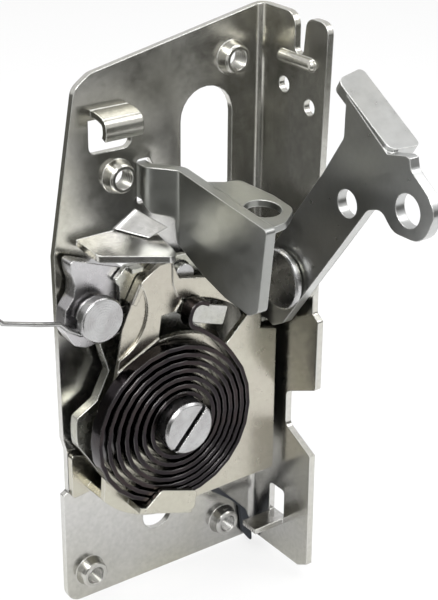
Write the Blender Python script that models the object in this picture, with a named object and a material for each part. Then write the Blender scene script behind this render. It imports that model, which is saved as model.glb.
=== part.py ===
"""Car door lock: a folded steel plate that carries a catch, a pawl, a clock spring and hand levers.

Metres, +Z up. Places are given from the fold: left of the flange's inner face, in front of the main
plate's face, and above the foot of the plate. The model's origin lies on the back of the main plate,
midway between its two lower tapped collars.
"""
import math

import bmesh
import bpy
from mathutils import Matrix, Vector

# Main plate and flange, one folded sheet
SHEET = 0.0018
BEND = 0.0022
PLATE_WIDTH = 0.0634
PLATE_HEIGHT = 0.159
SHOULDER_UP = 0.1035
TOP_LEFT = 0.0540
TOP_DROP = 0.0105
PLATE_CORNER = 0.0042
FLANGE_DEPTH = 0.0267
FLANGE_UPPER_DEPTH = 0.0243
FLANGE_STEP_UP = 0.0800
NOTCH_UP = 0.0480
NOTCH_FRONT = 0.0145
NOTCH_MOUTH = 0.0212
NOTCH_BACK = 0.0105
FINGER_FRONT = 0.0170
FINGER_GAP = 0.0034
FINGER_LENGTH = 0.0100
FLANGE_HOLE_RADIUS = 0.0021
FLANGE_WINDOW_UP = 0.0115
FLANGE_WINDOW_HEIGHT = 0.0095
FLANGE_WINDOW_FRONT = 0.0115
FLANGE_WINDOW_DEPTH = 0.0066
WINDOW_TAB_LENGTH = 0.0098

# Tapped collars and plain holes of the main plate
ORIGIN_LEFT = 0.0336
ORIGIN_UP = 0.0082
COLLAR_SPACING = 0.0448
COLLAR_HEIGHT = 0.0032
COLLAR_RADIUS = 0.0038
COLLAR_BASE = 0.0045
COLLAR_BORE = 0.0026
TOP_COLLAR_LEFT = 0.0097
TOP_COLLAR_DROP = 0.0129
MID_COLLAR_LEFT = 0.0445
MID_COLLAR_UP = 0.1213
DRAIN_RADIUS = 0.0048
DRAIN_UP = 0.0185
SLOT_LEFT = 0.0173
SLOT_WIDTH = 0.0161
SLOT_LENGTH = 0.0358
SLOT_DROP = 0.0192

# Hook tab struck out of the square hole
HOOK_LEFT = 0.0464
HOOK_WIDTH = 0.0108
HOOK_HOLE_WIDTH = 0.0124
HOOK_HOLE_HEIGHT = 0.0106
HOOK_TOP_DROP = 0.0202
HOOK_REACH = 0.0072
HOOK_DROP = 0.0052

# Window, tongue and shelf lip of the main plate
WINDOW_RIGHT = 0.0318
WINDOW_LEFT = 0.0388
WINDOW_BOTTOM = 0.1124
WINDOW_TOP = 0.1244
WINDOW_CORNER = 0.0064
TONGUE_REACH = 0.0062
TONGUE_RUN = 0.0080
LIP_UP = 0.1072
LIP_LEFT = 0.0570
LIP_RIGHT = 0.0362
LIP_HOLE_LEFT = 0.0535
LIP_DEPTH = 0.0158
LIP_CORNER_FRONT = 0.0080
LIP_SLOPE = 0.27

# Notch in the plate's left edge and the rib pressed in the flange
EDGE_NOTCH = 0.0015
EDGE_NOTCH_UP = 0.0346
EDGE_NOTCH_HEIGHT = 0.0132
RIB_DROP = 0.0118
RIB_RADIUS = 0.0017
RIB_BACK = 0.0072
RIB_FRONT = 0.0221

# Catch rotor, its arbor and clock spring
ARBOR_LEFT = 0.0362
ARBOR_UP = 0.0556
ARBOR_RADIUS = 0.0074
ARBOR_FRONT = 0.0200
ARBOR_SLOT = 0.0015
SLOT_TURN = 42.0
ROTOR_BACK = 0.0026
ROTOR_THICK = 0.0030
ROTOR_RADIUS = 0.0240
ROTOR_RIM = 0.0301
RIM_NOTCH = 0.0016
TAIL_RADIUS = 0.0258
LUG_RADIUS = 0.0300
LUG_TURN = -18.2
LUG_LENGTH = 0.0117
LUG_WIDTH = 0.0052
LUG_CORNER = 0.0020
LUG_FRONT = 0.0145
SPRING_BACK = 0.0124
SPRING_STRIP = 0.0040
SPRING_THICK = 0.0012
SPRING_RADIUS = 0.0243
SPRING_OFFSET = 0.0026
SPRING_END_TURN = -50.0
SPRING_TURNS = 7

# Cover plate
COVER_SHEET = 0.0018
COVER_FRONT = 0.0120
COVER_RIGHT = 0.0023
COVER_BOTTOM = 0.0287
COVER_WALL_RADIUS = 0.0286
WINDOW_CLEAR = 0.0006
WINDOW_DEPTH = 0.0036
WINDOW_STEP_TURN = -5.2
WINDOW_STEP = 0.0034
WINDOW_OPEN_TURN = 10.0
WINDOW_SHUT_TURN = -46.0
COIN_RADIUS = 0.0131
COIN_DEPTH = 0.0007
STEP_DEPTH = 0.0004
JAW_START = 0.0505
JAW_END = 0.0340
JAW_LIP = 0.0052
JAW_FRONT = 0.0180
JAW_SLOPE = 19.4
JAW_PRESS = 0.0023

# Pawl on its headed pin
PAWL_LEFT = 0.0565
PAWL_UP = 0.0890
PAWL_BACK = 0.0012
PAWL_THICK = 0.0044
PAWL_PIN_RADIUS = 0.0034
PAWL_HEAD_RADIUS = 0.0061
PAWL_HEAD_BACK = 0.0088
PAWL_HEAD_FRONT = 0.0114
NOSE_TURN = 13.0
WIRE = 0.0013
WIRE_LENGTH = 0.0290

# Release lever in the gap, on its stud
STUD_LEFT = 0.0310
STUD_UP = 0.0945
STUD_RADIUS = 0.0030
RELEASE_BACK = 0.0060
LINK_THICK = 0.0016
ARM_WIDTH = 0.0074
TAIL_UP = 0.0796
TAIL_DEPTH = 0.0036
RELEASE_TAB_FRONT = 0.0098
PICK_DROP = 0.0013
PICK_REACH = 0.0098
PICK_LENGTH = 0.0030

# Locking lever, one folded sheet
LOCK_SHEET = 0.0028
EYELET_THICK = 0.0017
LOCK_FACE = 0.0320
LOCK_JOG = 0.0062
LOCK_PIVOT_UP = 0.1160
LOCK_REACH = 0.0448
EYELET_SETBACK = 0.0102
EYELET_RUN = 0.0067
EYELET_HOLE = 0.0046

# Handle lever on its rivet
LEVER_SHEET = 0.0028
LEVER_FACE = 0.0056
LEVER_FRONT = 0.0195
LEVER_UP = 0.0910
LEVER_BOSS_RADIUS = 0.0083
LEVER_BOSS = 0.0016
LEVER_PIN_RADIUS = 0.0045
ROD_HOLE_RADIUS = 0.0036
LOBE_HOLE_RADIUS = 0.0042
PRESS_WIDTH = 0.0092
PRESS_CORNER = 0.0028
PRESS_LENGTH = 0.0240

# Steps of the riveted roots, clearances and facets
RIVET_STEP = 0.0020
PIN_STEP = 0.0008
SINK = 0.0007
WASHER = 0.0006
GAP = 0.0003
SIDES = 28

# Places worked out from the sizes above
ARBOR = (ARBOR_LEFT, ARBOR_UP)
PAWL_PIVOT = (PAWL_LEFT, PAWL_UP)
STUD = (STUD_LEFT, STUD_UP)
SLOT_TOP = PLATE_HEIGHT - SLOT_DROP
SLOT_BOTTOM = SLOT_TOP - SLOT_LENGTH
HOOK_UP = PLATE_HEIGHT - HOOK_TOP_DROP
HOOK_HOLE_BOTTOM = HOOK_UP - HOOK_HOLE_HEIGHT
PICK_UP = PAWL_UP - PICK_DROP
PICK_RIGHT = PAWL_LEFT - PICK_REACH
EYELET_FRONT = LOCK_REACH - EYELET_SETBACK
EYELET_LEFT = LOCK_FACE - EYELET_RUN
LEVER_PIVOT = (LEVER_FRONT, LEVER_UP)
COVER_BACK = COVER_FRONT - COVER_SHEET
ROTOR_FRONT = ROTOR_BACK + ROTOR_THICK
SPRING_FRONT = SPRING_BACK + SPRING_STRIP
LUG_OUTER = math.hypot(LUG_RADIUS + LUG_WIDTH / 2, LUG_LENGTH / 2)
WINDOW_OUTER = LUG_OUTER + WINDOW_CLEAR
WINDOW_INNER = LUG_RADIUS - LUG_WIDTH / 2 - WINDOW_DEPTH

for leftover in list(bpy.data.objects):
    bpy.data.objects.remove(leftover, do_unlink=True)
parts = bpy.data.collections.new("car_door_lock")
cutters = bpy.data.collections.new("cutters")
bpy.context.scene.collection.children.link(parts)
bpy.context.scene.collection.children.link(cutters)


def spot(left, front, up):
    """Model place of a point given left of the fold, in front of the plate and above its foot."""
    return Vector((ORIGIN_LEFT - left, -SHEET - front, up - ORIGIN_UP))


# How the axes of a flat outline, and the way it is pushed, lie on the lock
PLANES = {
    "front": lambda a, b, c: spot(a, c, b),
    "side": lambda a, b, c: spot(c, a, b),
    "top": lambda a, b, c: spot(a, b, c),
}


def turned_to(centre, radius, angle):
    """Point at an angle in degrees from straight up, turning towards the first axis."""
    turn = math.radians(angle)
    return (centre[0] + radius * math.sin(turn), centre[1] + radius * math.cos(turn))


def arc(centre, radius, start, end, steps=12):
    return [turned_to(centre, radius, start + (end - start) * i / steps) for i in range(steps + 1)]


def circle(centre, radius, sides=SIDES):
    half = 180 / sides
    return arc(centre, radius, half, 360 - half, sides - 1)


def rounded(corners, steps=5):
    """Outline whose corners (a, b, radius) are rounded and whose corners (a, b) stay sharp."""
    points = []
    for i, corner in enumerate(corners):
        here = Vector(corner[:2])
        if len(corner) == 2:
            points.append(tuple(here))
            continue
        before = (Vector(corners[i - 1][:2]) - here)
        after = (Vector(corners[(i + 1) % len(corners)][:2]) - here)
        half = before.angle(after) / 2
        reach = min(corner[2] / math.tan(half), 0.48 * before.length, 0.48 * after.length)
        middle = here + (before.normalized() + after.normalized()).normalized() * reach / math.cos(half)
        start = here + before.normalized() * reach - middle
        end = here + after.normalized() * reach - middle
        swing = math.atan2(start.x * end.y - start.y * end.x, start.dot(end))
        for step in range(steps + 1):
            turn = Matrix.Rotation(swing * step / steps, 2)
            points.append(tuple(middle + turn @ start))
    return points


def strip(path, thickness):
    """Closed outline of a bent strip that runs along the middle of a path."""
    outer = []
    inner = []
    for i, point in enumerate(path):
        here = Vector(point)
        back = (here - Vector(path[i - 1])).normalized() if i else None
        ahead = (Vector(path[i + 1]) - here).normalized() if i + 1 < len(path) else back
        back = back or ahead
        along = (back + ahead).normalized()
        side = Vector((-along.y, along.x)) * thickness / 2 / max(along.dot(ahead), 0.5)
        outer.append(tuple(here + side))
        inner.append(tuple(here - side))
    return outer + inner[::-1]


def smooth(points, steps=6):
    """Points of a smooth open curve through the given ones."""
    ends = [Vector(p) for p in (points[0], *points, points[-1])]
    curve = []
    for a, b, c, d in zip(ends, ends[1:], ends[2:], ends[3:]):
        for step in range(steps):
            t = step / steps
            place = 0.5 * (2 * b + (c - a) * t + (2 * a - 5 * b + 4 * c - d) * t * t
                           + (3 * b - a - 3 * c + d) * t ** 3)
            curve.append(tuple(place))
    return curve + [tuple(points[-1])]


def mesh_of_curve(curve):
    """Closed mesh of a curve whose caps are welded to its sides."""
    holder = bpy.data.objects.new("outline", curve)
    bpy.context.scene.collection.objects.link(holder)
    seen = holder.evaluated_get(bpy.context.evaluated_depsgraph_get())
    mesh = bpy.data.meshes.new_from_object(seen)
    bpy.data.objects.remove(holder)
    bpy.data.curves.remove(curve)
    return mesh


def seal(shape, mesh):
    """Weld a bmesh, turn its faces outwards and write it to a mesh."""
    bmesh.ops.remove_doubles(shape, verts=shape.verts, dist=1e-6)
    bmesh.ops.recalc_face_normals(shape, faces=shape.faces)
    if shape.calc_volume(signed=True) < 0:
        bmesh.ops.reverse_faces(shape, faces=shape.faces)
    shape.to_mesh(mesh)
    shape.free()
    return mesh


def prism(loops, start, end, plane="front", warp=None):
    """Mesh of a flat outline with holes, pushed from start to end across its plane."""
    curve = bpy.data.curves.new("outline", "CURVE")
    curve.dimensions = "2D"
    curve.fill_mode = "BOTH"
    curve.extrude = (end - start) / 2
    for loop in loops:
        spline = curve.splines.new("POLY")
        spline.points.add(len(loop) - 1)
        for point, (a, b) in zip(spline.points, loop):
            point.co = (a, b, 0, 1)
        spline.use_cyclic_u = True
    mesh = mesh_of_curve(curve)
    shape = bmesh.new()
    shape.from_mesh(mesh)
    for vert in shape.verts:
        place = (vert.co.x, vert.co.y, vert.co.z + (start + end) / 2)
        vert.co = PLANES[plane](*(warp(*place) if warp else place))
    return seal(shape, mesh)


def turned(profile, place, facing="front", sides=SIDES):
    """Mesh of a turned shape: (radius, height) pairs run from the far end of its axis to its root."""
    shape = bmesh.new()
    verts = [shape.verts.new((radius, 0, height)) for radius, height in profile]
    edges = [shape.edges.new(pair) for pair in zip(verts, verts[1:])]
    bmesh.ops.spin(shape, geom=verts + edges, cent=(0, 0, 0), axis=(0, 0, 1), angle=math.tau,
                   steps=sides, use_merge=True)
    if facing == "front":
        spin = Matrix.Rotation(math.radians(90), 4, "X")
    else:
        spin = Matrix.Rotation(math.radians(-90), 4, "Y")
    bmesh.ops.transform(shape, matrix=Matrix.Translation(place) @ spin, verts=shape.verts)
    return seal(shape, bpy.data.meshes.new("turned"))


def merged(meshes):
    """One mesh of several shapes that lie apart."""
    shape = bmesh.new()
    for mesh in meshes:
        shape.from_mesh(mesh)
    return seal(shape, bpy.data.meshes.new("group"))


def add(name, mesh, material, axis=None):
    """A sub-part with its own material, and with its origin on its joint's axis if it moves."""
    mesh.name = name
    mesh.materials.clear()
    mesh.materials.append(material)
    piece = bpy.data.objects.new(name, mesh)
    parts.objects.link(piece)
    if axis:
        mesh.transform(Matrix.Translation(-axis))
        piece.location = axis
    return piece


def boolean(piece, mesh, operation):
    tool = bpy.data.objects.new(piece.name + "_" + operation.lower(), mesh)
    cutters.objects.link(tool)
    tool.hide_render = True
    tool.display_type = "WIRE"
    step = piece.modifiers.new(operation.title(), "BOOLEAN")
    step.operation = operation
    step.object = tool


def cut(piece, *meshes):
    for mesh in meshes:
        boolean(piece, mesh, "DIFFERENCE")


def join(piece, *meshes):
    for mesh in meshes:
        boolean(piece, mesh, "UNION")


def trim(piece, mesh):
    boolean(piece, mesh, "INTERSECT")


def steel(name, colour, roughness, metallic=1.0):
    material = bpy.data.materials.new(name)
    material.use_nodes = True
    shader = material.node_tree.nodes["Principled BSDF"]
    shader.inputs["Base Color"].default_value = (*colour, 1)
    shader.inputs["Roughness"].default_value = roughness
    shader.inputs["Metallic"].default_value = metallic
    material.diffuse_color = (*colour, 1)
    return material


ZINC = steel("zinc_plated_steel", (0.50, 0.50, 0.46), 0.38)
COVER_STEEL = steel("cover_steel", (0.66, 0.64, 0.58), 0.34)
TURNED_STEEL = steel("turned_steel", (0.72, 0.71, 0.70), 0.30)
LEVER_STEEL = steel("lever_steel", (0.34, 0.35, 0.36), 0.35)
PAWL_STEEL = steel("pawl_steel", (0.55, 0.53, 0.56), 0.40)
SPRING_STEEL = steel("oiled_spring_steel", (0.02, 0.018, 0.02), 0.25, 0.6)
WIRE_STEEL = steel("wire_steel", (0.30, 0.30, 0.30), 0.35)
RUBBER = steel("black_rubber", (0.02, 0.025, 0.035), 0.55, 0.0)


def lock_plate():
    """Folded plate and flange, trimmed to their outlines, with its collars, hook, tongue and lip."""
    far = 0.05
    fold = rounded([(PLATE_WIDTH + far, 0), (0, 0, BEND), (0, FLANGE_DEPTH + far),
                    (-SHEET, FLANGE_DEPTH + far), (-SHEET, -SHEET, BEND + SHEET),
                    (PLATE_WIDTH + far, -SHEET)], 6)
    plate = add("lock_plate", prism([fold], -far, PLATE_HEIGHT + far, "top"), ZINC)
    trim(plate, prism([rounded([
        (-far, 0), (PLATE_WIDTH, 0, PLATE_CORNER), (PLATE_WIDTH, EDGE_NOTCH_UP),
        (PLATE_WIDTH - EDGE_NOTCH, EDGE_NOTCH_UP + 0.0008, 0.0006),
        (PLATE_WIDTH - EDGE_NOTCH, EDGE_NOTCH_UP + EDGE_NOTCH_HEIGHT, 0.0010),
        (PLATE_WIDTH - 0.0005, EDGE_NOTCH_UP + 1.3 * EDGE_NOTCH_HEIGHT), (PLATE_WIDTH, SHOULDER_UP),
        (TOP_LEFT + 0.0022, PLATE_HEIGHT - TOP_DROP - 0.0030, PLATE_CORNER),
        (TOP_LEFT - 0.0024, PLATE_HEIGHT - TOP_DROP + 0.0002, PLATE_CORNER),
        (0, PLATE_HEIGHT), (-far, PLATE_HEIGHT)])], -far, 2 * far, "front"))
    top = PLATE_HEIGHT
    finger_back = FINGER_FRONT - FINGER_GAP
    trim(plate, prism([rounded([
        (-far, 0), (FLANGE_DEPTH - 0.0049, 0), (FLANGE_DEPTH - 0.0009, 0.0022),
        (FLANGE_DEPTH - 0.0012, NOTCH_UP - NOTCH_BACK),
        (NOTCH_FRONT, NOTCH_UP - 0.0052, 0.0020), (NOTCH_FRONT, NOTCH_UP + 0.0053, 0.0020),
        (FLANGE_DEPTH, NOTCH_UP - NOTCH_BACK + NOTCH_MOUTH, 0.0010),
        (FLANGE_DEPTH, FLANGE_STEP_UP - 0.0010, 0.0008),
        (FLANGE_UPPER_DEPTH, FLANGE_STEP_UP + 0.0006, 0.0008),
        (FLANGE_UPPER_DEPTH, FLANGE_STEP_UP + 0.0080), (FLANGE_DEPTH - 0.0016, top - 0.0390),
        (FLANGE_DEPTH - 0.0003, top - 0.0002, 0.0030), (FINGER_FRONT + 0.0010, top - 0.0002, 0.0030),
        (FINGER_FRONT, top - FINGER_LENGTH, 0.0014), (finger_back, top - FINGER_LENGTH, 0.0014),
        (finger_back, top, 0.0036), (-far, top)])], -far, PLATE_WIDTH + far, "side"))

    low_collars = [(ORIGIN_LEFT + side * COLLAR_SPACING / 2, ORIGIN_UP) for side in (-1, 1)]
    collars = low_collars + [(TOP_COLLAR_LEFT, PLATE_HEIGHT - TOP_COLLAR_DROP),
                             (MID_COLLAR_LEFT, MID_COLLAR_UP)]
    profile = [(0, COLLAR_HEIGHT), (COLLAR_RADIUS - 0.0004, COLLAR_HEIGHT),
               (COLLAR_RADIUS, COLLAR_HEIGHT - 0.0004), (COLLAR_RADIUS + 0.0003, COLLAR_HEIGHT / 3),
               (COLLAR_BASE, -0.0001), (COLLAR_BASE, -0.0006), (0, -0.0006)]
    join(plate, merged([turned(profile, spot(left, 0, up)) for left, up in collars]))
    slot_end = SLOT_WIDTH / 2
    slot = (arc((SLOT_LEFT, SLOT_TOP - slot_end), slot_end, 90, -90)
            + arc((SLOT_LEFT, SLOT_BOTTOM + slot_end), slot_end, -90, -270))
    hook_hole = rounded([(HOOK_LEFT - HOOK_HOLE_WIDTH / 2, HOOK_HOLE_BOTTOM, 0.0020),
                         (HOOK_LEFT + HOOK_HOLE_WIDTH / 2, HOOK_HOLE_BOTTOM, 0.0020),
                         (HOOK_LEFT + HOOK_HOLE_WIDTH / 2, HOOK_UP - SHEET),
                         (HOOK_LEFT - HOOK_HOLE_WIDTH / 2, HOOK_UP - SHEET)])
    window = rounded([(WINDOW_RIGHT, WINDOW_BOTTOM, 0.0010), (WINDOW_LEFT, WINDOW_BOTTOM, 0.0010),
                      (WINDOW_LEFT, WINDOW_TOP, 0.0010),
                      (WINDOW_RIGHT + WINDOW_CORNER / 2, WINDOW_TOP, 0.0010),
                      (WINDOW_RIGHT, WINDOW_TOP - WINDOW_CORNER, 0.0010)])
    lip_hole = rounded([(LIP_HOLE_LEFT, LIP_UP - SHEET + GAP),
                        (LIP_HOLE_LEFT - 0.0015, LIP_UP - LIP_CORNER_FRONT, 0.0020),
                        (LIP_RIGHT - GAP, LIP_UP - LIP_DEPTH, 0.0020),
                        (LIP_RIGHT - GAP, LIP_UP - SHEET + GAP)])
    holes = [slot, hook_hole, window, lip_hole, circle((ORIGIN_LEFT, DRAIN_UP), DRAIN_RADIUS)]
    holes += [circle(place, COLLAR_BORE, 20) for place in collars]
    holes += [circle(ARBOR, ARBOR_RADIUS - RIVET_STEP + GAP), circle(STUD, STUD_RADIUS - PIN_STEP + GAP),
              circle(PAWL_PIVOT, PAWL_PIN_RADIUS - PIN_STEP + GAP)]
    cut(plate, prism(holes, -0.01, 0.01))
    middle = -SHEET / 2
    low = FLANGE_WINDOW_UP
    back = FLANGE_WINDOW_FRONT - FLANGE_WINDOW_DEPTH / 2
    fore = FLANGE_WINDOW_FRONT + FLANGE_WINDOW_DEPTH / 2
    flange_window = rounded([(back, low), (fore, low), (fore, low + FLANGE_WINDOW_HEIGHT, 0.0012),
                             (back, low + FLANGE_WINDOW_HEIGHT, 0.0012)])
    flange_holes = [circle((front, top - drop), FLANGE_HOLE_RADIUS, 16)
                    for front, drop in ((0.0097, 0.0192), (0.0200, 0.0228))]
    pivot_hole = circle(LEVER_PIVOT, LEVER_PIN_RADIUS - PIN_STEP + GAP)
    cut(plate, prism([flange_window, pivot_hole, *flange_holes], -0.01, 0.01, "side"))
    bore = LEVER_PIN_RADIUS - PIN_STEP + GAP
    sink = [(0, middle), (bore, middle), (bore + 2 * SINK, middle - SHEET), (0, middle - SHEET)]
    cut(plate, turned(sink, spot(0, LEVER_FRONT, LEVER_UP), "inward"))

    curl = smooth([(middle, HOOK_UP - 0.0002), (0.0018, HOOK_UP), (HOOK_REACH - 0.0016, HOOK_UP - 0.0010),
                   (HOOK_REACH - SHEET / 2, HOOK_UP - 0.0036),
                   (HOOK_REACH - 0.0014, HOOK_UP - HOOK_DROP)], 4)
    half = HOOK_WIDTH / 2
    join(plate, prism([strip(curl, SHEET - 0.0002)], HOOK_LEFT - half, HOOK_LEFT + half, "side"))
    rib = []
    for step in range(7):
        turn = math.radians(15 * step)
        rib.append((RIB_RADIUS * math.sin(turn), RIB_FRONT - RIB_RADIUS * (1 - math.cos(turn))))
    rib += [(radius, RIB_BACK + RIB_FRONT - front) for radius, front in reversed(rib)]
    join(plate, lip_mesh(), tongue_mesh())
    join(plate, turned(rib, spot(-0.00005, 0, top - RIB_DROP), "front", 20))
    tab = [(-SHEET / 2, back + GAP), (-SHEET / 2, fore - GAP), (WINDOW_TAB_LENGTH, fore - GAP),
           (WINDOW_TAB_LENGTH, back + GAP)]
    join(plate, prism([tab], low - SHEET + 0.0003, low + 0.0001, "top"))
    return plate


def lip_mesh():
    """Shelf bent forward out of the plate, sloping down to the front."""
    plan = rounded([(LIP_LEFT, -SHEET / 2), (LIP_LEFT - 0.0015, LIP_CORNER_FRONT, 0.0020),
                    (LIP_RIGHT, LIP_DEPTH, 0.0020), (LIP_RIGHT, -SHEET / 2)])
    return prism([plan], LIP_UP - SHEET, LIP_UP, "top",
                 lambda left, front, up: (left, front, up - LIP_SLOPE * max(front, 0)))


def tongue_mesh():
    """Ramp that rises out of the plate between the window and the shelf, with a slanting free end."""
    root = (Vector((LIP_RIGHT + 0.0103, LIP_UP + 0.0004)),
            Vector((WINDOW_LEFT + 0.0012, WINDOW_BOTTOM - 0.0006)))
    end = root[0] + Vector((-0.0073, -0.0020)), root[1] + Vector((-0.0064, -0.0047))
    path = smooth([(-0.0034, -SHEET / 2), (-0.0014, -SHEET / 2), (0.0012, 0.0001 - SHEET / 3),
                   (0.55 * TONGUE_RUN, 0.46 * TONGUE_REACH), (TONGUE_RUN, TONGUE_REACH)], 4)
    mesh = prism([strip(path, SHEET - 0.0002)], 0, 1, "top")
    for vert in mesh.vertices:
        run = (ORIGIN_LEFT - vert.co.x) / TONGUE_RUN
        share = vert.co.z + ORIGIN_UP
        low, high = root[0].lerp(end[0], run), root[1].lerp(end[1], run)
        place = low.lerp(high, share)
        vert.co = spot(place.x, -SHEET - vert.co.y, place.y)
    return mesh


def cover_plate():
    """Pan over the catch, with a round wall, a foot, a window for the lug and a jaw round the spring."""
    wall = COVER_WALL_RADIUS
    upper = [(0.0450, 0.0966), (0.0397, 0.1000), (0.0362, 0.1000), (0.0340, 0.0950)]
    face = rounded([
        (COVER_RIGHT, COVER_BOTTOM)] + arc(ARBOR, wall, 203, 130, 14)[1:] + [
        (ARBOR_LEFT + 0.0206, ARBOR_UP + 0.0010), (0.0520, 0.0772), (0.0508, 0.0846),
        (0.0489, 0.0888)] + upper + [
        (0.0240, 0.0930), (0.0120, 0.0880), (0.0077, 0.0838), (0.0077, 0.0738), (COVER_RIGHT, 0.0722)])
    window = (arc(ARBOR, WINDOW_OUTER, WINDOW_SHUT_TURN, WINDOW_STEP_TURN)
              + arc(ARBOR, WINDOW_OUTER - WINDOW_STEP, WINDOW_STEP_TURN, WINDOW_OPEN_TURN - 4, 4)
              + arc(ARBOR, WINDOW_INNER, WINDOW_OPEN_TURN, WINDOW_SHUT_TURN))
    cover = add("cover_plate", prism([face, window, circle(ARBOR, ARBOR_RADIUS + GAP)],
                                     COVER_BACK, COVER_FRONT), COVER_STEEL)
    low = [(0.0600, 0.0700), (0.0600, 0.1020), (0.0361, 0.1020), (0.0359, 0.0937), (0.0345, 0.0900),
           (0.0328, ARBOR_UP + WINDOW_OUTER), (0.0400, 0.0800)]
    coin = circle(PAWL_PIVOT, COIN_RADIUS, 40)
    front = COVER_FRONT + 0.0010
    cut(cover, prism([low], COVER_FRONT - STEP_DEPTH, front),
        prism([coin], COVER_FRONT - COIN_DEPTH - STEP_DEPTH, front))
    band = (arc(ARBOR, wall, 205, 132, 14) + arc(ARBOR, wall - COVER_SHEET, 132, 205, 14))
    join(cover, prism([band], GAP, COVER_FRONT - 0.0002))
    foot = rounded([(ARBOR_LEFT + 0.0180, ARBOR_UP - 0.0205), (ARBOR_LEFT + 0.0256, ARBOR_UP - 0.0214, 0.001),
                    (ARBOR_LEFT + 0.0256, ARBOR_UP - 0.0079, 0.001), (ARBOR_LEFT + 0.0200, ARBOR_UP - 0.0100)])
    join(cover, prism([foot], GAP, SHEET + GAP))
    brow = strip([(0.0472, 0.0907), (0.0441, 0.0962), (0.0397, 0.0990)], 0.0012)
    join(cover, prism([brow], RELEASE_BACK + LINK_THICK + GAP, COVER_FRONT - STEP_DEPTH - 0.0002))
    toe = [(0.0090, COVER_BOTTOM + 0.0002), (0.0250, COVER_BOTTOM + 0.0002),
           (0.0250, COVER_BOTTOM + COVER_SHEET), (0.0090, COVER_BOTTOM + COVER_SHEET)]
    join(cover, prism([toe], GAP, COVER_FRONT - 0.0002))
    join(cover, *jaw_meshes())
    return cover


def jaw_directions():
    """Along the jaw's floor to the left, and square to it away from the arbor."""
    along = Vector((math.cos(math.radians(JAW_SLOPE)), math.sin(math.radians(JAW_SLOPE))))
    return along, Vector((along.y, -along.x))


def jaw_meshes():
    """Floor under the spring and the lip that folds up in front of it, both straight."""
    along, out = jaw_directions()
    clear = SPRING_RADIUS + SPRING_OFFSET * out.x + SPRING_THICK / 2 + GAP - JAW_PRESS
    foot = Vector(ARBOR) + out * clear
    left = foot + along * (JAW_START - foot.x) / along.x
    right = foot + along * (JAW_END - foot.x) / along.x
    thick = out * COVER_SHEET * 0.8
    floor = [tuple(left), tuple(right), tuple(right + thick), tuple(left + thick)]
    up = -out * JAW_LIP
    lip = rounded([(*(left + thick - along * 0.0010), 0.0008), (*(left - along * 0.0052 + up), 0.0010),
                   (*(right + along * 0.0004 + up), 0.0010), (*(right - along * 0.0006), 0.0008),
                   (*(right + thick + along * 0.0030), 0.0012)])
    return [prism([floor], COVER_FRONT - 0.0004, JAW_FRONT - 0.0001),
            prism([lip], SPRING_FRONT + GAP, JAW_FRONT)]


def catch_rotor(axis):
    """Catch disc with a rim that the pawl rides on, a tail and the lug that the spring turns."""
    disc = (arc(ARBOR, ROTOR_RADIUS, 130, 300, 16)
            + arc(ARBOR, ROTOR_RIM, LUG_TURN - 14, NOSE_TURN + 9, 10)
            + arc(ARBOR, ROTOR_RIM - RIM_NOTCH, NOSE_TURN + 9, NOSE_TURN + 17, 4)
            + arc(ARBOR, ROTOR_RIM, NOSE_TURN + 17, NOSE_TURN + 24, 4)
            + [turned_to(ARBOR, ROTOR_RADIUS - 0.0020, NOSE_TURN + 32)]
            + [turned_to(ARBOR, ROTOR_RADIUS - 0.0030, 68)]
            + arc(ARBOR, TAIL_RADIUS, 80, 98, 5)
            + [turned_to(ARBOR, ROTOR_RADIUS, 110)])
    rotor = add("catch_rotor", prism([disc, circle(ARBOR, ARBOR_RADIUS + GAP)],
                                     ROTOR_BACK, ROTOR_FRONT), LEVER_STEEL, axis)
    lug = turned_to(ARBOR, LUG_RADIUS, LUG_TURN)
    tilt = math.radians(LUG_TURN)
    corners = []
    for across, along, radius in ((-1, 1, LUG_CORNER), (1, 1, 0.0006), (1, -1, 0.0006), (-1, -1, LUG_CORNER)):
        a = -across * LUG_LENGTH / 2
        b = along * LUG_WIDTH / 2
        corners.append((lug[0] + a * math.cos(tilt) + b * math.sin(tilt),
                        lug[1] - a * math.sin(tilt) + b * math.cos(tilt), radius))
    join(rotor, prism([rounded(corners)], ROTOR_BACK + 0.0001, LUG_FRONT))
    return rotor


def clock_spring():
    """Flat strip wound round the arbor, pressed flatter by the jaw and hooked round the lug."""
    start = ARBOR_RADIUS + GAP + SPRING_THICK / 2
    turns = 26 * SPRING_TURNS
    out = jaw_directions()[1]
    coil = []
    for i in range(turns + 1):
        share = i / turns
        point = Vector(turned_to((0, 0), start + (SPRING_RADIUS - start) * share,
                                 SPRING_END_TURN - 360 * SPRING_TURNS * (1 - share)))
        point.x += SPRING_OFFSET * share
        down = max(point.dot(out), 0) / SPRING_RADIUS
        coil.append(tuple(Vector(ARBOR) + point - out * JAW_PRESS * 0.93 * share * down * down))
    lug = Vector(turned_to(ARBOR, LUG_RADIUS, LUG_TURN))
    outward = (lug - Vector(ARBOR)).normalized()
    left = Vector((outward.y, -outward.x))

    def by_lug(run, rise):
        return tuple(lug + left * run + outward * rise)
    clear = GAP + SPRING_THICK / 2
    bend = LUG_CORNER + clear
    run, rise = LUG_LENGTH / 2 - LUG_CORNER, LUG_WIDTH / 2 - LUG_CORNER
    hook = []
    for up, first in ((-rise, -90), (rise, 0)):
        for i in range(7):
            turn = math.radians(first + 15 * i)
            hook.append(by_lug(run + bend * math.cos(turn), up + bend * math.sin(turn)))
    under = smooth([coil[-1], by_lug(-0.0060, -0.0072), by_lug(-0.0012, -0.0051),
                    by_lug(0.0022, -LUG_WIDTH / 2 - clear - 0.0004), hook[0]], 4)
    path = coil + under[1:] + hook[1:] + [by_lug(run - 0.0020, rise + bend - 0.0003)]
    return add("clock_spring", prism([strip(path, SPRING_THICK)], SPRING_BACK, SPRING_FRONT),
               SPRING_STEEL)


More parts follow.
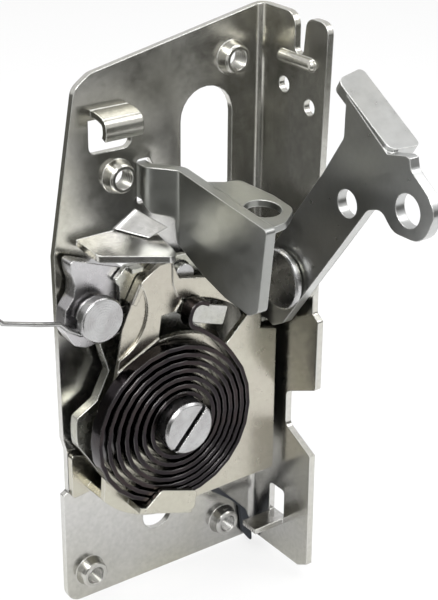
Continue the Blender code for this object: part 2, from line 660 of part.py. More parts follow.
def spring_arbor():
    """Slotted arbor riveted into the plate, which the catch turns on and the spring is held by."""
    root = ARBOR_RADIUS - RIVET_STEP
    arbor = add("spring_arbor", turned([
        (0, ARBOR_FRONT), (ARBOR_RADIUS - 0.0007, ARBOR_FRONT), (ARBOR_RADIUS, ARBOR_FRONT - 0.0007),
        (ARBOR_RADIUS, GAP), (root, GAP), (root, -SHEET - GAP), (root - 0.0006, -SHEET - GAP),
        (0, -SHEET - GAP)], spot(ARBOR_LEFT, 0, ARBOR_UP)), TURNED_STEEL)
    half = ARBOR_SLOT / 2
    reach = ARBOR_RADIUS * 2
    turn = math.radians(SLOT_TURN)
    along = Vector((math.sin(turn), -math.cos(turn)))
    side = Vector((along.y, -along.x)) * half
    middle = Vector(ARBOR)
    corners = [middle + along * reach + side, middle - along * reach + side,
               middle - along * reach - side, middle + along * reach - side]
    cut(arbor, prism([[tuple(c) for c in corners]], SPRING_BACK - 0.0006, ARBOR_FRONT + 0.002))
    return arbor


def pawl(axis):
    """Pawl plate: a hub on the pin, a finger plate above it and an arm whose nose rides on the rim."""
    p, q = PAWL_PIVOT
    nose = ROTOR_RIM + GAP
    tip = [turned_to(ARBOR, nose, NOSE_TURN + 4), turned_to(ARBOR, nose, NOSE_TURN),
           turned_to(ARBOR, nose + 0.0042, NOSE_TURN - 1)]
    outline = rounded([
        (p + 0.0058, q + 0.0158, 0.0012), (p + 0.0054, q + 0.0122, 0.0020), (p + 0.0044, q + 0.0090, 0.0016),
        (p + 0.0049, q + 0.0054, 0.0016), (p + 0.0074, q + 0.0022, 0.0020), (p + 0.0080, q - 0.0030, 0.0040),
        (p + 0.0052, q - 0.0080, 0.0040), (p + 0.0010, q - 0.0096, 0.0040), (p - 0.0036, q - 0.0076, 0.0030),
        (p - 0.0070, q - 0.0056, 0.0020), tip[0], tip[1], tip[2], (p - 0.0086, q + 0.0050, 0.0020),
        (p - 0.0104, q + 0.0098, 0.0010)])
    plate = add("pawl", prism([outline, circle(PAWL_PIVOT, PAWL_PIN_RADIUS + GAP)],
                              PAWL_BACK, PAWL_BACK + PAWL_THICK), PAWL_STEEL, axis)
    pick_left = PICK_RIGHT + PICK_LENGTH
    tab = [(PICK_RIGHT, PICK_UP), (pick_left, PICK_UP), (pick_left, PICK_UP + LINK_THICK),
           (PICK_RIGHT, PICK_UP + LINK_THICK)]
    join(plate, prism([tab], PAWL_BACK + 0.0002, RELEASE_BACK + LINK_THICK))
    return plate


def pawl_pin():
    root = PAWL_PIN_RADIUS - PIN_STEP
    return add("pawl_pin", turned([
        (0, PAWL_HEAD_FRONT), (PAWL_HEAD_RADIUS - 0.0004, PAWL_HEAD_FRONT),
        (PAWL_HEAD_RADIUS, PAWL_HEAD_FRONT - 0.0004), (PAWL_HEAD_RADIUS, PAWL_HEAD_BACK),
        (PAWL_PIN_RADIUS, PAWL_HEAD_BACK), (PAWL_PIN_RADIUS, PAWL_BACK - GAP),
        (PAWL_PIN_RADIUS + 0.0012, PAWL_BACK - GAP), (PAWL_PIN_RADIUS + 0.0012, GAP), (root, GAP),
        (root, -SHEET - GAP), (0, -SHEET - GAP)], spot(PAWL_LEFT, 0, PAWL_UP)), TURNED_STEEL)


def pawl_spring():
    """Torsion wire: two turns round the pin under its head, and one long free leg to the left."""
    radius = PAWL_PIN_RADIUS + GAP + WIRE / 2 + 0.0002
    back = PAWL_BACK + PAWL_THICK + GAP + WIRE / 2
    pitch = WIRE + GAP
    steps = 16
    points = []
    for i in range(int(0.75 * steps) + 1):
        left, up = turned_to(PAWL_PIVOT, radius, 90 - 360 * i / steps)
        points.append(spot(left, back + pitch * i / steps, up))
    front = back + pitch * 0.75
    left, up = PAWL_LEFT, PAWL_UP
    for run, rise in ((0.0045, -0.0040), (0.0080, -0.0018), (0.0105, 0.0006), (0.0160, 0.0020),
                      (WIRE_LENGTH - 0.0030, 0.0050), (WIRE_LENGTH, 0.0078)):
        points.append(spot(left + run, front, up + rise))
    curve = bpy.data.curves.new("wire", "CURVE")
    curve.dimensions = "3D"
    curve.bevel_depth = WIRE / 2
    curve.bevel_resolution = 2
    curve.use_fill_caps = True
    spline = curve.splines.new("POLY")
    spline.points.add(len(points) - 1)
    for point, place in zip(spline.points, points):
        point.co = (*place, 1)
    mesh = mesh_of_curve(curve)
    shape = bmesh.new()
    shape.from_mesh(mesh)
    return add("pawl_spring", seal(shape, mesh), WIRE_STEEL)


def release_lever(axis):
    """Lever whose right end the handle's tail pushes down and whose left end lifts the pawl's tab."""
    clear = LUG_OUTER + 2 * WINDOW_CLEAR
    front = RELEASE_BACK + LINK_THICK
    right = LEVER_FACE - LEVER_SHEET
    low = TAIL_UP - TAIL_DEPTH - GAP - LINK_THICK
    left = PAWL_LEFT - 0.0072
    notch = PICK_UP + LINK_THICK + 2 * GAP
    under = PICK_UP - 1.5 * GAP
    outline = rounded([
        (left, PICK_UP - 0.0034, 0.0008), (left, under, 0.0004), (PICK_RIGHT - 0.0006, under),
        (PICK_RIGHT - 0.0006, notch), (left, notch, 0.0004), (left, notch + 0.0052, 0.0004),
        (left + 0.0013, notch + 0.0070, 0.0006), (left - 0.0022, notch + 0.0102, 0.0008),
        (STUD_LEFT + 0.0060, STUD_UP + 0.0052, 0.0020), (STUD_LEFT - 0.0030, STUD_UP + 0.0046, 0.0030),
        *arc(ARBOR, clear + ARM_WIDTH, -16, -44, 8), (right + 0.0028, low + LINK_THICK),
        (right, low + LINK_THICK), (right, low), (right + 0.0056, low - 0.0010),
        *arc(ARBOR, clear, -47, 9, 10), turned_to(ARBOR, clear - 0.0050, 11.5)])
    lever = add("release_lever", prism([outline, circle(STUD, STUD_RADIUS + GAP)], RELEASE_BACK, front),
                LEVER_STEEL, axis)
    tab = [(RELEASE_BACK + 0.0001, low + 0.0001), (RELEASE_TAB_FRONT, low + 0.0001),
           (RELEASE_TAB_FRONT, low + LINK_THICK - 0.0001), (RELEASE_BACK + 0.0001, low + LINK_THICK - 0.0001)]
    wall_right = left - 0.0058
    wall = [(wall_right, notch + 0.0101), (left - 0.0024, notch + 0.0101), (left - 0.0024, notch + 0.0088),
            (wall_right, notch + 0.0088)]
    join(lever, prism([tab], right + 0.0001, LEVER_FACE, "side"),
         prism([wall], RELEASE_BACK + 0.0001, COVER_BACK - GAP))
    return lever


def release_stud():
    root = STUD_RADIUS - PIN_STEP
    return add("release_stud", turned([
        (0, COVER_BACK - GAP), (STUD_RADIUS, COVER_BACK - GAP), (STUD_RADIUS, RELEASE_BACK - GAP),
        (STUD_RADIUS + 0.0006, RELEASE_BACK - GAP), (STUD_RADIUS + 0.0006, GAP), (root, GAP),
        (root, -SHEET - GAP), (0, -SHEET - GAP)], spot(STUD_LEFT, 0, STUD_UP)), TURNED_STEEL)


def locking_lever(axis):
    """Blade, jogged rear arm and eyelet tab, folded from one sheet."""
    middle = LOCK_FACE - LOCK_SHEET / 2
    up = LOCK_PIVOT_UP
    path = smooth([(middle + LOCK_JOG, -0.0012), (middle + LOCK_JOG, 0.0014),
                   (middle + 0.92 * LOCK_JOG, 0.0028), (middle + 0.50 * LOCK_JOG, 0.0053),
                   (middle + 0.08 * LOCK_JOG, 0.0078), (middle, 0.0092)], 3)
    path.append((middle, LOCK_REACH + 0.02))
    lever = add("locking_lever", prism([strip(path, LOCK_SHEET)], up - 0.04, up + 0.04, "top"),
                LEVER_STEEL, axis)
    blade = rounded([(-0.0100, up - 0.0019), (-0.0100, up + 0.0078), (0.0060, up + 0.0070, 0.0060),
                     (LOCK_REACH, up + 0.0026, 0.0012), (LOCK_REACH - 0.0026, up - 0.0195, 0.0020),
                     (LOCK_REACH - 0.0061, up - 0.0216, 0.0020), (0.0286, up - 0.0205, 0.0040),
                     (0.0190, up - 0.0178, 0.0040), (0.0085, up - 0.0132, 0.0010), (0.0080, up - 0.0060, 0.0010),
                     (0.0040, up - 0.0050, 0.0010), (0.0012, up - 0.0019, 0.0008)])
    trim(lever, prism([blade], 0, 0.1, "side"))
    slope = (0.0070 - 0.0026) / (LOCK_REACH - 0.0060)
    rim = EYELET_HOLE + 0.0021
    tab = rounded([(middle, EYELET_FRONT - 0.0190), (EYELET_LEFT - 0.0004, EYELET_FRONT - 0.0160, 0.0020),
                   (EYELET_LEFT - 0.0044, EYELET_FRONT - 0.0154, 0.0020),
                   (EYELET_LEFT - rim, EYELET_FRONT - 0.0046, 0.0040),
                   (EYELET_LEFT - rim, EYELET_FRONT + 0.0036, 0.0040),
                   (EYELET_LEFT - 0.0006, LOCK_REACH - 0.0020, 0.0030), (middle, LOCK_REACH - 0.0010)])
    level = up + 0.0070 + slope * 0.0060
    eyelet = prism([tab, circle((EYELET_LEFT, EYELET_FRONT), EYELET_HOLE)], level - 0.0003 - EYELET_THICK,
                   level - 0.0003, "top", lambda left, front, height: (left, front, height - slope * front))
    join(lever, eyelet)
    return lever


def handle_lever(axis):
    """Flat lever with a straight shank, an ear for a rod and a press tab folded outwards."""
    f, u = LEVER_PIVOT
    back = LEVER_FACE - LEVER_SHEET
    outline = rounded([
        (f - 0.0115, TAIL_UP, 0.0010), (f - 0.0115, TAIL_UP - TAIL_DEPTH, 0.0010),
        (f - 0.0072, TAIL_UP - TAIL_DEPTH), (f - 0.0050, u - 0.0160, 0.0020), (f - 0.0006, u - 0.0136, 0.0030),
        (f + 0.0202, u + 0.0145, 0.0020), (f + 0.0306, u + 0.0287, 0.0040), (f + 0.0352, u + 0.0302, 0.0030),
        (f + 0.0396, u + 0.0260, 0.0050), (f + 0.0500, u + 0.0262, 0.0060), (f + 0.0534, u + 0.0346, 0.0060),
        (f + 0.0505, u + 0.0386), (f + 0.0445, u + 0.0428, 0.0020), (f + 0.0438, u + 0.0455),
        (f + 0.0424, u + 0.0458), (f + 0.0362, u + 0.0444),
        (f + 0.0209, u + 0.0548), (f + 0.0207, u + 0.0440, 0.0030), (f + 0.0134, u + 0.0328, 0.0040),
        (f - 0.0072, u + 0.0050, 0.0080), (f - 0.0072, TAIL_UP, 0.0010)])
    rod_hole = (f + 0.0230, u + 0.0279)
    lobe_hole = (f + 0.0443, u + 0.0329)
    sheet = [outline, circle(LEVER_PIVOT, LEVER_PIN_RADIUS + GAP), circle(rod_hole, ROD_HOLE_RADIUS),
             circle(lobe_hole, LOBE_HOLE_RADIUS)]
    lever = add("handle_lever", prism(sheet, back, LEVER_FACE, "side"), LEVER_STEEL, axis)
    along = Vector((0.0205, -0.0124)).normalized()
    over = Vector((-along.y, along.x))
    half = LEVER_SHEET / 2
    start = Vector((f + 0.0160, u + 0.0567))
    near, away = LEVER_FACE - 0.0001, LEVER_FACE - PRESS_WIDTH
    tab = rounded([(0.0006, near, PRESS_CORNER), (-0.0014, away, PRESS_CORNER / 2),
                   (PRESS_LENGTH + 0.0004, away, PRESS_CORNER / 2), (PRESS_LENGTH, near, PRESS_CORNER)])

    def folded(run, left, height):
        place = start + along * run + over * height
        return place.x, place.y, left
    join(lever, prism([tab], -half, half, "side", folded))
    return lever


def handle_rivet():
    """Shouldered rivet, sunk flush in the flange, whose broad head the handle lever turns under."""
    root = LEVER_PIN_RADIUS - PIN_STEP
    head = LEVER_FACE + 2 * GAP + WASHER
    rivet = [(0, head + LEVER_BOSS), (LEVER_BOSS_RADIUS - 0.0005, head + LEVER_BOSS),
             (LEVER_BOSS_RADIUS, head + LEVER_BOSS - 0.0005), (LEVER_BOSS_RADIUS, head),
             (LEVER_PIN_RADIUS, head), (LEVER_PIN_RADIUS, GAP), (root, GAP), (root, -SHEET / 2),
             (root + SINK, -SHEET), (0, -SHEET)]
    return add("handle_rivet", turned(rivet, spot(0, LEVER_FRONT, LEVER_UP), "inward"), TURNED_STEEL)


def handle_spacer():
    """Spacer between the flange and the handle lever."""
    return add("handle_spacer", ring(LEVER_PIVOT, LEVER_PIN_RADIUS + GAP, LEVER_BOSS_RADIUS - 0.0010,
                                     GAP, LEVER_FACE - LEVER_SHEET - GAP, "side"), ZINC)


def handle_washer():
    """Thin washer between the lever and the rivet's broad head."""
    return add("handle_washer", ring(LEVER_PIVOT, LEVER_PIN_RADIUS + GAP, LEVER_BOSS_RADIUS - 0.0008,
                                     LEVER_FACE + GAP, LEVER_FACE + GAP + WASHER, "side"), LEVER_STEEL)


def catch_spacer():
    """Ring that holds the catch off the plate."""
    return add("catch_spacer", ring(ARBOR, ARBOR_RADIUS + GAP, ARBOR_RADIUS + 0.0036, GAP, ROTOR_BACK - GAP),
               ZINC)


def catch_washer():
    """Ring between the catch and the cover."""
    return add("catch_washer", ring(ARBOR, ARBOR_RADIUS + GAP, ARBOR_RADIUS + 0.0030, ROTOR_FRONT + GAP,
                                    COVER_BACK - GAP), ZINC)


def ring(centre, inner, outer, start, end, plane="front"):
    return prism([circle(centre, outer), circle(centre, inner)], start, end, plane)


def rubber_stop():
    """Black strip wedged behind the window tab, whose end hangs below the plate."""
    outline = rounded([(0.0172, 0.0210, 0.0006), (0.0136, 0.0204, 0.0004), (0.0076, 0.0139, 0.0010),
                       (0.0036, 0.0096, 0.0010), (0.0014, 0.0040, 0.0010), (0.0010, -0.0029, 0.0004),
                       (0.0046, 0.0020, 0.0006), (0.0052, 0.0070, 0.0010), (0.0058, 0.0112, 0.0010),
                       (0.0092, 0.0147, 0.0010)])
    return add("rubber_stop", prism([outline], GAP, 0.0016), RUBBER)


lock_plate()
cover_plate()
catch_rotor(spot(ARBOR_LEFT, ROTOR_BACK, ARBOR_UP))
clock_spring()
spring_arbor()
pawl(spot(PAWL_LEFT, PAWL_BACK, PAWL_UP))
pawl_pin()
pawl_spring()
release_lever(spot(STUD_LEFT, RELEASE_BACK, STUD_UP))
release_stud()
locking_lever(spot(LOCK_FACE, 0, LOCK_PIVOT_UP))
handle_lever(spot(LEVER_FACE, LEVER_FRONT, LEVER_UP))
handle_rivet()
handle_spacer()
handle_washer()
catch_spacer()
catch_washer()
rubber_stop()
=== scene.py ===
"""Looks of the car door lock: camera, studio and the finish of every piece."""
import math

import bmesh
import bpy
from mathutils import Matrix, Vector


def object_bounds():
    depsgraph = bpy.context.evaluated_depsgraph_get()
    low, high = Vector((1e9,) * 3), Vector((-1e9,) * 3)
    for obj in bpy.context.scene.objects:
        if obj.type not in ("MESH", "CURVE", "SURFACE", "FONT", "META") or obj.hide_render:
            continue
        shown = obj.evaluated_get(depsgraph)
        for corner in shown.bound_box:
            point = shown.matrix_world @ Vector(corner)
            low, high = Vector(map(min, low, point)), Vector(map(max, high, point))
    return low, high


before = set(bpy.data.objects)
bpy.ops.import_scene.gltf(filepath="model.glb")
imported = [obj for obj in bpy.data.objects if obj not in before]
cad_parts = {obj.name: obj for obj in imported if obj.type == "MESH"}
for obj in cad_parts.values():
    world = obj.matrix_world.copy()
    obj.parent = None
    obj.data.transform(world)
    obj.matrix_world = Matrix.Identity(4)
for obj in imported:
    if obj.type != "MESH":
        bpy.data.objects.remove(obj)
cad_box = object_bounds()

# Camera: set where the photograph was taken from, to the left of the lock, above it and close by.
# The turn, tilt and lens were worked out from the plate's corners and the flange.
CAMERA_PLACE = (-0.2016, -0.3067, 0.2459)
CAMERA_TURN = -35.92
CAMERA_RISE = 24.95
CAMERA_ROLL = 0.45
SENSOR_HEIGHT = 24.0
FIELD_OF_VIEW = 22.15
LENS_SHIFT_ACROSS = 0.0075
LENS_SHIFT_UP = 0.0017
NEAREST_IN_VIEW = 0.01

camera = bpy.data.objects.new("camera", bpy.data.cameras.new("camera"))
bpy.context.collection.objects.link(camera)
camera.data.sensor_fit = "VERTICAL"
camera.data.sensor_height = SENSOR_HEIGHT
camera.data.sensor_width = SENSOR_HEIGHT
camera.data.lens = SENSOR_HEIGHT / 2 / math.tan(math.radians(FIELD_OF_VIEW) / 2)
camera.data.shift_x = LENS_SHIFT_ACROSS
camera.data.shift_y = LENS_SHIFT_UP
camera.data.clip_start = NEAREST_IN_VIEW
camera.matrix_world = (Matrix.Translation(CAMERA_PLACE)
                       @ Matrix.Rotation(math.radians(CAMERA_TURN), 4, "Z")
                       @ Matrix.Rotation(math.radians(90 - CAMERA_RISE), 4, "X")
                       @ Matrix.Rotation(math.radians(CAMERA_ROLL), 4, "Z"))
bpy.context.scene.camera = camera
bpy.context.scene.view_settings.view_transform = "Standard"

# Studio: a pale floor just under the lock's lowest point, a white surround and three soft lamps.
# The surround is brighter in the background and in the metal's reflections than as a light.
# Grey cards that only reflections show give the plated steel something dark to mirror.
FLOOR_SIZE = 6.0
FLOOR_DROP = 0.0002
FLOOR_SHADE = 0.90
FLOOR_GLOW = 0.72
SURROUND_LIGHT = 0.55
AIM_POINT = (0, -0.01, 0.07)
CARD_BLUE_SHARE = 0.94


def fill(socket, value):
    """Sets a socket to a plain value, or links it to another node's output."""
    if isinstance(value, bpy.types.NodeSocket):
        socket.id_data.links.new(value, socket)
    else:
        socket.default_value = value


def add_node(tree, kind, values=None, **settings):
    """Adds a node, makes its settings and fills its sockets, each by name or by number."""
    node = tree.nodes.new(kind)
    for setting, choice in settings.items():
        setattr(node, setting, choice)
    for socket, value in (values or {}).items():
        fill(node.inputs[socket], value)
    return node


def new_finish(name):
    """New material, with the shader that holds its colour and roughness."""
    material = bpy.data.materials.new(name)
    material.use_nodes = True
    return material, material.node_tree.nodes["Principled BSDF"]


def flat_sheet(name, size, material):
    """Object of one flat rectangle about the origin, in one material."""
    mesh = bpy.data.meshes.new(name)
    shape = bmesh.new()
    bmesh.ops.create_grid(shape, x_segments=1, y_segments=1, size=0.5)
    bmesh.ops.scale(shape, vec=(*size, 1), verts=shape.verts)
    shape.to_mesh(mesh)
    shape.free()
    mesh.materials.append(material)
    sheet = bpy.data.objects.new(name, mesh)
    bpy.context.collection.objects.link(sheet)
    return sheet


world = bpy.data.worlds.new("surround")
bpy.context.scene.world = world
world.use_nodes = True
rays = add_node(world.node_tree, "ShaderNodeLightPath").outputs
shown = add_node(world.node_tree, "ShaderNodeMath",
                 {0: rays["Is Camera Ray"], 1: rays["Is Glossy Ray"]}, operation="MAXIMUM")
strength = add_node(world.node_tree, "ShaderNodeMapRange",
                    {"Value": shown.outputs[0], "To Min": SURROUND_LIGHT, "To Max": 1.0})
background = world.node_tree.nodes["Background"]
fill(background.inputs["Color"], (1, 1, 1, 1))
fill(background.inputs["Strength"], strength.outputs["Result"])

floor_paint, paint = new_finish("floor_paint")
fill(paint.inputs["Base Color"], (FLOOR_SHADE, FLOOR_SHADE, FLOOR_SHADE, 1))
fill(paint.inputs["Roughness"], 0.9)
fill(paint.inputs["Specular IOR Level"], 0.1)
rays = add_node(floor_paint.node_tree, "ShaderNodeLightPath").outputs
share = add_node(floor_paint.node_tree, "ShaderNodeMath",
                 {0: rays["Is Camera Ray"], 1: FLOOR_GLOW}, operation="MULTIPLY")
glow = add_node(floor_paint.node_tree, "ShaderNodeEmission")
blend = add_node(floor_paint.node_tree, "ShaderNodeMixShader",
                 {"Fac": share.outputs[0], 1: paint.outputs["BSDF"], 2: glow.outputs["Emission"]})
fill(floor_paint.node_tree.nodes["Material Output"].inputs["Surface"], blend.outputs["Shader"])

floor = flat_sheet("floor", (FLOOR_SIZE, FLOOR_SIZE), floor_paint)
floor.data.transform(Matrix.Translation((0, 0, cad_box[0][2] - FLOOR_DROP)))


def aimed(place):
    """Placement of something at a point that faces the lock."""
    facing = (Vector(AIM_POINT) - Vector(place)).to_track_quat("-Z", "Y")
    return Matrix.Translation(place) @ facing.to_matrix().to_4x4()


def soft_lamp(name, place, size, watts):
    """Rectangular lamp that the camera doesn't see."""
    lamp = bpy.data.lights.new(name, "AREA")
    lamp.shape = "RECTANGLE"
    lamp.size, lamp.size_y = size
    lamp.energy = watts
    holder = bpy.data.objects.new(name, lamp)
    holder.matrix_world = aimed(place)
    holder.visible_camera = False
    bpy.context.collection.objects.link(holder)


soft_lamp("key_lamp", place=(-0.45, -0.55, 0.75), size=(0.45, 0.45), watts=7.0)
soft_lamp("side_lamp", place=(0.42, -0.33, 0.62), size=(0.32, 0.32), watts=1.3)
soft_lamp("top_lamp", place=(0.05, 0.10, 0.85), size=(0.60, 0.40), watts=4.0)


def grey_card(name, place, size, shade):
    """Card that only the metal's reflections show."""
    matt, surface = new_finish(name)
    fill(surface.inputs["Base Color"], (0, 0, 0, 1))
    fill(surface.inputs["Specular IOR Level"], 0)
    fill(surface.inputs["Emission Color"], (shade, shade, shade * CARD_BLUE_SHARE, 1))
    fill(surface.inputs["Emission Strength"], 1)
    card = flat_sheet(name, size, matt)
    card.matrix_world = aimed(place)
    for ray_kind in ("camera", "diffuse", "transmission", "shadow", "volume_scatter"):
        setattr(card, "visible_" + ray_kind, False)


grey_card("front_card", place=(0.15, -0.21, 0.096), size=(0.24, 0.11), shade=0.15)
grey_card("left_card", place=(-0.085, -0.125, 0.045), size=(0.20, 0.13), shade=0.12)
grey_card("back_card", place=(-0.13, 0.17, 0.05), size=(0.30, 0.18), shade=0.16)

# Lock plate: one sheet of mild steel, blanked, tapped, folded and zinc plated.
# The plating is mottled, with yellow tints, and the blanked edges are brightened by a painted highlight.
PLATE_GREY = (0.50, 0.495, 0.48)
PLATE_YELLOW = (0.46, 0.45, 0.385)
PLATE_EDGE = 0.00028
COLLAR_THREADS = {
    "axes": ((0.0224, 0.0), (-0.0224, 0.0), (0.0239, 0.1379), (-0.0109, 0.1131)),
    "pitch": 0.0008,
    "reach": 0.0029,
    "strength": 1.0,
    "turned": False,
}
PITCHES_PER_DEPTH = 6
BEYOND_THE_LOCK = 1.0


def ridged(tree, place, below, axes, pitch, reach, strength, turned):
    """Ridges over another bump: a thread's round the axes, or the rings of a turned head."""
    def work(operation, first, second=0.0):
        return add_node(tree, "ShaderNodeMath", {0: first, 1: second}, operation=operation).outputs[0]

    apart = add_node(tree, "ShaderNodeSeparateXYZ", {"Vector": place}).outputs
    nearest = BEYOND_THE_LOCK
    for across, up in axes:
        run = work("POWER", work("SUBTRACT", apart["X"], across), 2)
        rise = work("POWER", work("SUBTRACT", apart["Z"], up), 2)
        nearest = work("MINIMUM", nearest, work("SQRT", work("ADD", run, rise)))
    wave = work("SINE", work("MULTIPLY", nearest if turned else apart["Y"], math.tau / pitch))
    height = work("MULTIPLY", wave, work("LESS_THAN", nearest, reach))
    ridges = add_node(tree, "ShaderNodeBump", {"Strength": strength, "Distance": pitch / PITCHES_PER_DEPTH,
                                               "Height": height, "Normal": below})
    return ridges.outputs["Normal"]


PATCH_EDGES = (0.42, 0.66)
NOISE_RANGE = (0.3, 0.7)
MOTTLE_SIZE = 0.0012
CLOUD_SIZE = 0.0035
CLOUD_SMOOTHER = 0.03
CLOUD_ROUGHER = 0.05
GRAIN_SIZE = 0.0011
GRAIN_DEPTH = 0.00006
# Painted highlight: near sharp edges, found with the bevel node, the colour is mixed towards a bright
# steel.
PAINTED_EDGE_HIGHLIGHT = (0.80, 0.80, 0.78)
EDGE_HIGHLIGHT_RADIUS = 0.0004
EDGE_HIGHLIGHT_SAMPLES = 4
# Cosine between the rounded and the true normal, on a sharp edge and on a flat face
EDGE_COSINE = 0.80
FLAT_COSINE = 0.99


def plated(name, colour, tint, roughness, tint_size, mottle, grain, edge_highlight=0.9, ridges=None):
    """Plated steel: patches of a tint, fine mottling, a faint grain and a painted highlight on the edges.
    """
    material, shader = new_finish(name)
    tree = material.node_tree
    place = add_node(tree, "ShaderNodeTexCoord").outputs["Object"]

    def noise(size, detail, distortion=0.0):
        values = {"Vector": place, "Scale": 1 / size, "Detail": detail, "Distortion": distortion}
        return add_node(tree, "ShaderNodeTexNoise", values).outputs["Fac"]

    def spread(value, low, high, to_low, to_high):
        values = {"Value": value, "From Min": low, "From Max": high, "To Min": to_low, "To Max": to_high}
        return add_node(tree, "ShaderNodeMapRange", values).outputs["Result"]

    def mix(kind, share, first, second):
        share_socket, first_colour, second_colour, mixed_colour = 0, 6, 7, 2
        values = {share_socket: share, first_colour: first, second_colour: second}
        step = add_node(tree, "ShaderNodeMix", values, data_type="RGBA", blend_type=kind)
        return step.outputs[mixed_colour]

    patches = spread(noise(tint_size, detail=2, distortion=0.6), *PATCH_EDGES, 0, 1)
    mottling = spread(noise(MOTTLE_SIZE, detail=3), *NOISE_RANGE, 1 - mottle / 2, 1 + mottle / 4)
    base = mix("MULTIPLY", 1.0, mix("MIX", patches, (*colour, 1), (*tint, 1)), mottling)

    bevel = add_node(tree, "ShaderNodeBevel", {"Radius": EDGE_HIGHLIGHT_RADIUS}, samples=EDGE_HIGHLIGHT_SAMPLES)
    face = add_node(tree, "ShaderNodeNewGeometry")
    turn = add_node(tree, "ShaderNodeVectorMath",
                    {0: bevel.outputs["Normal"], 1: face.outputs["Normal"]}, operation="DOT_PRODUCT")
    # Share of the painted edge highlight: full on sharp edges, none on flat faces.
    edges = spread(turn.outputs["Value"], EDGE_COSINE, FLAT_COSINE, edge_highlight, 0)

    clouds = spread(noise(CLOUD_SIZE, detail=5), *NOISE_RANGE,
                    roughness - CLOUD_SMOOTHER, roughness + CLOUD_ROUGHER)
    dents = add_node(tree, "ShaderNodeBump", {"Strength": grain, "Distance": GRAIN_DEPTH,
                                              "Height": noise(GRAIN_SIZE, detail=5),
                                              "Normal": bevel.outputs["Normal"]})
    normal = dents.outputs["Normal"]
    if ridges:
        normal = ridged(tree, place, normal, **ridges)

    fill(shader.inputs["Metallic"], 1.0)
    # Base colour with the painted edge highlight mixed in at the edges.
    fill(shader.inputs["Base Color"], mix("MIX", edges, base, (*PAINTED_EDGE_HIGHLIGHT, 1)))
    fill(shader.inputs["Roughness"], clouds)
    fill(shader.inputs["Normal"], normal)
    return material


SMOOTH_ANGLE = 31


def shading_group():
    """Geometry step that shades a mesh smooth apart from its sharp edges."""
    group = bpy.data.node_groups.new("smooth_by_angle", "GeometryNodeTree")
    for way in ("INPUT", "OUTPUT"):
        group.interface.new_socket("Geometry", in_out=way, socket_type="NodeSocketGeometry")
    start = add_node(group, "NodeGroupInput")
    angle = add_node(group, "GeometryNodeInputMeshEdgeAngle")
    sharp = add_node(group, "FunctionNodeCompare",
                     {"A": angle.outputs["Unsigned Angle"], "B": math.radians(SMOOTH_ANGLE)},
                     data_type="FLOAT", operation="GREATER_THAN")
    faces = add_node(group, "GeometryNodeSetShadeSmooth",
                     {"Geometry": start.outputs[0], "Shade Smooth": True}, domain="FACE")
    edges = add_node(group, "GeometryNodeSetShadeSmooth",
                     {"Geometry": faces.outputs[0], "Selection": sharp.outputs["Result"],
                      "Shade Smooth": False}, domain="EDGE")
    add_node(group, "NodeGroupOutput", {0: edges.outputs[0]})
    return group


smooth_stretches = shading_group()
WELD_GAP = 0.000005
FLAT_ANGLE = 0.5
EDGE_ANGLE = 40
EDGE_STEPS = 2


def dress(name, material, edge):
    """Gives a CAD node its finish, softened edges and smooth shading on its round stretches."""
    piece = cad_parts[name]
    for held in piece.material_slots:
        held.material = material
    weld = piece.modifiers.new("weld", "WELD")
    weld.merge_threshold = WELD_GAP
    flat = piece.modifiers.new("flat", "DECIMATE")
    flat.decimate_type = "DISSOLVE"
    flat.angle_limit = math.radians(FLAT_ANGLE)
    if edge:
        round_off = piece.modifiers.new("round_off", "BEVEL")
        round_off.width = edge
        round_off.segments = EDGE_STEPS
        round_off.limit_method = "ANGLE"
        round_off.angle_limit = math.radians(EDGE_ANGLE)
        round_off.miter_outer = "MITER_ARC"
    shading = piece.modifiers.new("shading", "NODES")
    shading.node_group = smooth_stretches
    even = piece.modifiers.new("even", "WEIGHTED_NORMAL")
    even.keep_sharp = True


plate_finish = plated("zinc_plate", PLATE_GREY, PLATE_YELLOW, roughness=0.21, tint_size=0.06,
                      mottle=0.20, grain=0.12, edge_highlight=0.6, ridges=COLLAR_THREADS)
dress("lock_plate", plate_finish, edge=PLATE_EDGE)

# Cover plate: a pressed pan in sheet as thick as the plate's, pale, with a faint warm sheen.
# It covers the catch, and its jaw wraps under the clock spring.
COVER_CREAM = (0.44, 0.425, 0.36)
COVER_SHEEN = (0.40, 0.375, 0.325)
cover_finish = plated("cover_plating", COVER_CREAM, COVER_SHEEN, roughness=0.24, tint_size=0.04,
                      mottle=0.10, grain=0.10, edge_highlight=0.6)
dress("cover_plate", cover_finish, edge=0.00022)

# Catch: a blanked disc with its lug, plated greyer than the cover.
# One ring lies behind it on the arbor and one in front of it, in the same finish.
CATCH_GREY = (0.42, 0.42, 0.405)
CATCH_OLIVE = (0.36, 0.36, 0.31)
catch_finish = plated("lever_plating", CATCH_GREY, CATCH_OLIVE, roughness=0.25, tint_size=0.018,
                      mottle=0.22, grain=0.2)
for name in ("catch_rotor", "catch_spacer", "catch_washer"):
    dress(name, catch_finish, edge=0.00018)

# Arbor, pawl's pin, stud and rivet: turned from bright bar, the rivet set in the flange and
# the others in the plate. The lathe left fine rings on the heads of the arbor and the pin.
TURNED_GREY = (0.40, 0.40, 0.40)
TURNED_SHADE = (0.34, 0.335, 0.335)
HEAD_RINGS = {
    "axes": ((-0.0026, 0.0474), (-0.0229, 0.0808)),
    "pitch": 0.0007,
    "reach": 0.0062,
    "strength": 0.16,
    "turned": True,
}
turned_finish = plated("turned_steel", TURNED_GREY, TURNED_SHADE, roughness=0.26, tint_size=0.006,
                       mottle=0.12, grain=0.12, ridges=HEAD_RINGS)
for name in ("spring_arbor", "pawl_pin", "release_stud", "handle_rivet"):
    dress(name, turned_finish, edge=0.00012)

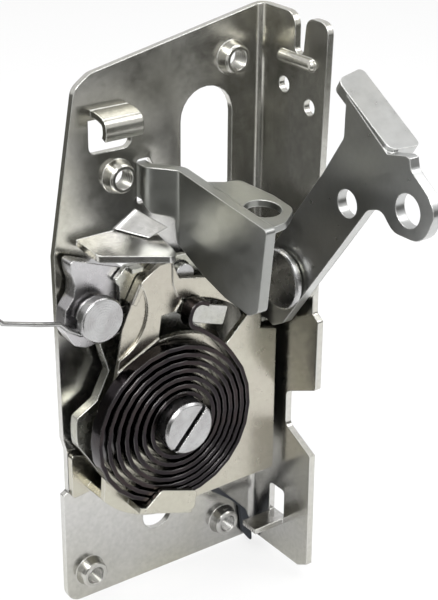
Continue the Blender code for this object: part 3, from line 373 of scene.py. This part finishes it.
# Clock spring: flat spring steel, blued black and oiled, wound seven turns round the arbor.
# Its edges get only a faint painted highlight, hardly brighter than its sides.
SPRING_BLACK = (0.022, 0.019, 0.021)
SPRING_BROWN = (0.035, 0.028, 0.028)
spring_finish = plated("oiled_spring", SPRING_BLACK, SPRING_BROWN, roughness=0.15, tint_size=0.01,
                       mottle=0.3, grain=0.5, edge_highlight=0.16)
dress("clock_spring", spring_finish, edge=0.00018)

# Pawl, release lever and torsion wire: two blanked and plated plates, on a pin and on a stud,
# and drawn wire.
# The wire is coiled round the pin, and its long leg stands free to the left.
PAWL_GREY = (0.44, 0.435, 0.44)
PAWL_SHADE = (0.40, 0.39, 0.40)
WIRE_GREY = (0.34, 0.34, 0.34)
WIRE_SHADE = (0.28, 0.28, 0.27)
pawl_finish = plated("pawl_plating", PAWL_GREY, PAWL_SHADE, roughness=0.27, tint_size=0.02,
                     mottle=0.12, grain=0.15)
wire_finish = plated("spring_wire", WIRE_GREY, WIRE_SHADE, roughness=0.25, tint_size=0.01,
                     mottle=0.2, grain=0.1)
dress("pawl", pawl_finish, edge=0.0002)
dress("release_lever", catch_finish, edge=0.0002)
dress("pawl_spring", wire_finish, edge=0)

# Locking lever: thick strip folded to a blade, an eyelet tab for a rod and a rear arm.
# Its broad faces are smooth and grey.
BLADE_GREY = (0.29, 0.295, 0.285)
BLADE_OLIVE = (0.26, 0.265, 0.245)
blade_finish = plated("blade_plating", BLADE_GREY, BLADE_OLIVE, roughness=0.32, tint_size=0.05,
                      mottle=0.06, grain=0.06, edge_highlight=0.6)
dress("locking_lever", blade_finish, edge=0.0003)

# Handle lever with its washer and spacer: heavy strip, blanked, on a rivet in the flange.
# Its press tab is folded outwards, past the flange.
HANDLE_GREY = (0.44, 0.445, 0.44)
HANDLE_SHADE = (0.40, 0.40, 0.385)
handle_finish = plated("handle_plating", HANDLE_GREY, HANDLE_SHADE, roughness=0.30, tint_size=0.04,
                       mottle=0.08, grain=0.08)
dress("handle_lever", handle_finish, edge=0.0004)
dress("handle_washer", catch_finish, edge=0.0001)
dress("handle_spacer", catch_finish, edge=0.0002)

# Rubber strip: black rubber with a dull sheen, flat on the plate near the flange's window.
# Its lower end reaches just past the plate's foot.
RUBBER_BLACK = (0.022, 0.026, 0.034)
rubber, surface = new_finish("rubber")
fill(surface.inputs["Base Color"], (*RUBBER_BLACK, 1))
fill(surface.inputs["Roughness"], 0.5)
dress("rubber_stop", rubber, edge=0.0002)
